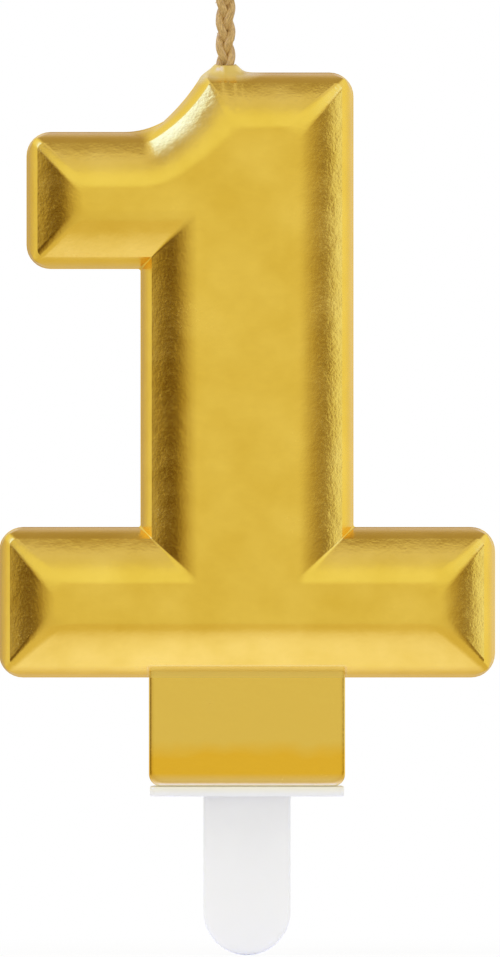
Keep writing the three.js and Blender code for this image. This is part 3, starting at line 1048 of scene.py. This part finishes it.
def wick_material(grain, cloud):
    material, tree, principled, place = new_material("waxed_cotton")
    along = add(tree, "ShaderNodeAttribute", attribute_name="along").outputs["Fac"]
    around = add(tree, "ShaderNodeAttribute", attribute_name="around").outputs["Fac"]
    turn = times(tree, around, math.tau)
    lay = point(
        tree,
        times(tree, reckon(tree, "COSINE", turn), THREAD_ROUND),
        times(tree, reckon(tree, "SINE", turn), THREAD_ROUND),
        times(tree, along, 1 / THREAD_LENGTH))
    threads = ramp(tree, noise(tree, lay, 1.5, 3.0), *THREAD_EDGE)
    waxed = use_group(tree, cloud, {"Vector": place, "Cloud Size": 1.6 * MM})["Mask"]
    fuzz = use_group(tree, grain, {"Vector": place, "Grain Size": 0.09 * MM, "Depth": 0.012 * MM})
    cotton = tint(tree, threads, (0.36, 0.205, 0.05), (0.76, 0.51, 0.18))
    set_inputs(tree, principled, {
        "Base Color": tint(tree, times(tree, waxed, 0.5), cotton, (0.66, 0.44, 0.145)),
        "Roughness": blend(tree, waxed, 0.75, 0.45),
        "Coat Weight": 0.08,
        "Coat Roughness": 0.35,
        "Normal": bump(tree, fuzz["Height"]),
    })
    return material


# Where the blade is painted lighter towards its end, away from the shade under the flange, and
# where the flange's top is painted with warm light bounced from the gold foot
BLADE_PAINTED_LIGHT = (-3 * MM, -11 * MM)
# the painted reflection of the gold foot on the flange's top: where it starts, ends and how strong
GOLD_BOUNCE_START = (0.25 * MM, FLANGE_THICKNESS)
GOLD_BOUNCE_END = (FLANGE_THICKNESS + 0.1 * MM, FLANGE_THICKNESS + 0.9 * MM)
GOLD_BOUNCE_SHARE = 0.75


def plastic_material(grain, cloud):
    material, tree, principled, place = new_material("white_plastic")
    skin = use_group(tree, grain, {"Vector": place, "Grain Size": 0.16 * MM, "Depth": 0.003 * MM})
    flow = use_group(tree, cloud, {"Vector": place, "Cloud Size": 5 * MM})["Mask"]
    z = parts(tree, place)[2]
    colour = tint(tree, flow, (0.885, 0.885, 0.89), (0.92, 0.92, 0.92))
    # painted light: the blade lighter towards its end, away from the flange's shade
    colour = tint(tree, ramp(tree, z, *BLADE_PAINTED_LIGHT), colour, (0.96, 0.96, 0.96))
    # painted reflection: the flange's top tinted yellow, as light bounced from the gold foot
    gold_bounce = times(tree, ramp(tree, z, *GOLD_BOUNCE_START, 0.0, GOLD_BOUNCE_SHARE),
                    fade(tree, z, *GOLD_BOUNCE_END))
    set_inputs(tree, principled, {
        "Base Color": tint(tree, gold_bounce, colour, (0.98, 0.90, 0.62)),
        "Roughness": blend(tree, flow, 0.3, 0.4),
        "Subsurface Weight": 0.35,
        "Subsurface Radius": (1.0, 1.0, 1.05),
        "Subsurface Scale": 1.2 * MM,
        "Normal": bump(tree, skin["Height"]),
    })
    return material


# The stage

# The floor, by the distance from its middle: how much the camera sees it as plain white, and the
# bright pool that reflections see, from its middle's colour to its edge's
FLOOR_RADIUS = 0.1
FLOOR_COLOUR = (0.95, 0.95, 0.95, 1)
FLOOR_PLAIN = (0.02, 0.07, 0.88, 1.0)
FLOOR_POOL_EDGE = (0.018, 0.046)
FLOOR_POOL = ((1.02, 1.12, 2.25), (0.71, 0.67, 0.60))


def make_floor():
    """A pale round table top. The camera sees it as white, with the candle's shadow kept near
    the middle. Reflections see a bright pool under the candle, which fades outwards."""
    work = bmesh.new()
    bmesh.ops.create_circle(work, cap_ends=True, segments=96, radius=FLOOR_RADIUS)
    floor = from_bmesh("floor", work, (0, 0, pick_low.z))
    material = bpy.data.materials.new("floor")
    material.use_nodes = True
    tree = material.node_tree
    tree.nodes.clear()
    path = add(tree, "ShaderNodeLightPath").outputs
    eye = reckon(tree, "MAXIMUM", path["Is Camera Ray"], path["Is Transmission Ray"])
    eye = reckon(tree, "MAXIMUM", eye, path["Is Glossy Ray"])
    place = add(tree, "ShaderNodeTexCoord").outputs["Object"]
    x, y, _ = parts(tree, place)
    out = distance_across(tree, x, y)
    plain = ramp(tree, out, *FLOOR_PLAIN)
    pool = tint(tree, ramp(tree, out, *FLOOR_POOL_EDGE), *FLOOR_POOL)
    seen = tint(tree, path["Is Glossy Ray"], (1, 1, 1), pool)
    lit = result(tree, "ShaderNodeBsdfDiffuse", {0: FLOOR_COLOUR})
    white = result(tree, "ShaderNodeEmission", {0: seen, 1: 1.0})
    inputs = {0: times(tree, eye, plain), 1: lit, 2: white}
    add(tree, "ShaderNodeOutputMaterial", {0: result(tree, "ShaderNodeMixShader", inputs)})
    floor.data.materials.append(material)


def stops(tree, value, points):
    """A smooth curve through stops, each a place and a grey."""
    most = 2.0
    low, high = points[0][0], points[-1][0]
    node = add(tree, "ShaderNodeValToRGB", {0: ramp(tree, value, low, high)})
    node.color_ramp.interpolation = "EASE"
    elements = node.color_ramp.elements
    elements[0].position, elements[-1].position = 0, 1
    for place, _ in points[1:-1]:
        elements.new((place - low) / (high - low))
    for element, (_, grey) in zip(elements, points):
        element.color = (grey / most, grey / most, grey / most, 1)
    return times(tree, node.outputs[0], most)


# How bright the studio is in reflections, where PLAIN is neutral. The ring goes by the angle in
# degrees from the camera, with its left side negative. The ceiling and the two cards go by how far
# back they are, from -1 to 1.
PLAIN = 0.76
RING = [(-180, 0.68), (-160, 0.52), (-145, 0.66), (-130, 0.80), (-106, 0.72), (-86, 0.60),
        (-80, 0.36), (-75, 0.13), (-70.5, 0.09), (-62.6, 0.13), (-56.4, 0.28), (-48.1, 0.44),
        (-38.1, 0.57), (-24.4, 0.67), (0, 0.755), (16.1, 0.74), (29.9, 0.69), (41.9, 0.60),
        (50.7, 0.50), (57.2, 0.42), (62.6, 0.34), (66.9, 0.25), (70.5, 0.15), (72.9, 0.15),
        (75, 0.50), (77.4, 0.94), (79.6, 0.97), (130, 0.92), (150, 0.82), (165, 0.78)]
RING.append((180, RING[0][1]))
CEILING = [(-1, 0.90), (-0.88, 0.92), (-0.74, 0.92), (-0.64, 0.91), (-0.55, 0.85), (-0.47, 0.77),
           (-0.41, 0.73), (-0.33, 0.80), (-0.29, 0.80), (-0.25, 0.68), (-0.21, 0.46),
           (-0.17, 0.36), (0.05, 0.40), (0.34, 0.44), (0.6, 0.42), (0.8, 0.44), (0.93, 0.62),
           (1, 0.80)]
LEFT_CARD = [(-1, 0.90), (-0.77, 0.90), (-0.61, 0.87), (-0.49, 0.74), (-0.41, 0.58),
             (-0.35, 0.42), (-0.30, 0.44), (-0.265, 0.85), (-0.235, 1.18), (0.05, 1.18),
             (0.2, 1.02), (0.45, 0.92), (1, 0.84)]
RIGHT_CARD = [(-1, 0.90), (-0.82, 0.92), (-0.63, 0.94), (-0.49, 0.92), (-0.41, 1.0),
              (-0.36, 1.12), (-0.25, 1.12), (-0.19, 0.95), (0, 0.85), (0.45, 0.92), (1, 0.84)]
# How the brightness becomes red, green and blue: a power for each, a ceiling that is bluer at the
# back, and a glare that whitens the brightest parts of the cards
CHANNEL_POWERS = (1.0, 1.28, 1.8)
CEILING_NEAR_TINT = (0.98, 1.0, 1.0)
CEILING_FAR_TINT = (1.0, 1.03, 1.6)
GLARE_START = 1.22
GLARE_LIMIT = 0.16
GLARE = (0.0, 2.2, 16.0)
DIFFUSE_LEVEL = 0.86

# Where one part of the studio passes into another: the ring into what is above it by height, the
# ceiling into each card by its lean in degrees, and the ceiling's tint by how far back it is
ABOVE_RING = (0.0, 0.32)
LEFT_CARD_EDGE = (-4.0, -26.0)
RIGHT_CARD_EDGE = (18.0, 33.0)
FAR_TINT_START = (-0.6, -0.35)
CARD_TINT_END = (0.2, 0.6)


def make_studio():
    """A plain white world, in which metal sees a room with a dark card at each side, a cool
    ceiling that darkens to the back, and a long light card up on the left and on the right."""
    world = bpy.data.worlds.new("studio")
    bpy.context.scene.world = world
    world.use_nodes = True
    tree = world.node_tree
    tree.nodes.clear()
    direction = add(tree, "ShaderNodeTexCoord").outputs["Generated"]
    x, y, z = parts(tree, direction)
    angle = reckon(tree, "DEGREES", reckon(tree, "ARCTAN2", x, times(tree, y, -1.0)))
    lean = reckon(tree, "DEGREES", reckon(tree, "ARCTAN2", x, z))
    high = ramp(tree, z, *ABOVE_RING)
    on_left = ramp(tree, lean, *LEFT_CARD_EDGE)
    on_right = ramp(tree, lean, *RIGHT_CARD_EDGE)
    upper = blend(tree, on_left, stops(tree, y, CEILING), stops(tree, y, LEFT_CARD))
    upper = blend(tree, on_right, upper, stops(tree, y, RIGHT_CARD))
    grey = blend(tree, high, stops(tree, angle, RING), upper)
    share = reckon(tree, "DIVIDE", grey, PLAIN)
    over = ramp(tree, share, GLARE_START, GLARE_START + GLARE_LIMIT, 0.0, GLARE_LIMIT)
    beside = times(tree, reckon(tree, "MAXIMUM", on_left, on_right),
                   ramp(tree, y, *CARD_TINT_END))
    far = minus(tree, ramp(tree, y, *FAR_TINT_START), beside)
    channels = []
    for power, glare, near_tint, far_tint in zip(
            CHANNEL_POWERS, GLARE, CEILING_NEAR_TINT, CEILING_FAR_TINT):
        brightness = reckon(tree, "POWER", share, power)
        whiter = reckon(tree, "MULTIPLY_ADD", over, glare, 1.0)
        hue = blend(tree, high, 1.0, blend(tree, far, near_tint, far_tint))
        channels.append(times(tree, brightness, PLAIN, whiter, hue))
    studio = result(tree, "ShaderNodeCombineColor", dict(enumerate(channels)))
    path = add(tree, "ShaderNodeLightPath").outputs
    eye = reckon(tree, "MAXIMUM", path["Is Camera Ray"], path["Is Transmission Ray"])
    plain = blend(tree, eye, DIFFUSE_LEVEL, 1.0)
    colour = tint(tree, path["Is Glossy Ray"], plain, studio)
    background = result(tree, "ShaderNodeBackground", {0: colour, 1: 1.0})
    add(tree, "ShaderNodeOutputWorld", {0: background})


# The lamps, each with its name, its direction, its size and its watts
LAMP_AIM = Vector((0, 0, 0.03))
LAMP_DISTANCE = 1.3
LAMPS = [
    ("softbox_left", (-0.6, -0.3, 0.75), 0.5, 2.0),
    ("softbox_right", (0.65, -0.3, 0.7), 0.4, 0.9),
]


def make_lamps():
    """Soft lamps for the matt surfaces. Metal sees the studio's light cards in their place."""
    for name, direction, size, watts in LAMPS:
        data = bpy.data.lights.new(name, "AREA")
        data.shape = "SQUARE"
        data.size = size
        data.energy = watts
        lamp = new_object(name, data)
        lamp.visible_glossy = False
        way = Vector(direction).normalized()
        lamp.location = LAMP_AIM + way * LAMP_DISTANCE
        lamp.rotation_euler = way.to_track_quat("Z", "Y").to_euler()


def make_camera():
    """Straight on and far off, so that the picture is almost a flat elevation."""
    photo_width, photo_height = 500, 957
    pixel = 0.1 * MM
    centre_x, seat_y = 247, 796
    distance = 1.6
    data = bpy.data.cameras.new("camera")
    data.sensor_width = 36
    data.lens = data.sensor_width * distance / (photo_height * pixel)
    camera = new_object("camera", data)
    x = (photo_width / 2 - centre_x) * pixel
    z = (seat_y - photo_height / 2) * pixel
    camera.location = (x, -distance, z)
    camera.rotation_euler = (math.pi / 2, 0, 0)
    bpy.context.scene.camera = camera


def main():
    bpy.context.scene.view_settings.view_transform = "Standard"
    make_camera()
    make_floor()
    make_studio()
    make_lamps()
    grain, cloud = grain_group(), cloud_group()
    tree = crowned_plate_tree()
    make_coat(tree, gold_material(grain, cloud))
    make_wick(wick_material(grain, cloud))
    make_pick(tree, plastic_material(grain, cloud))
    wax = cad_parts["wax_core"].data
    wax.materials.clear()
    wax.materials.append(wax_material(grain, cloud))


main()
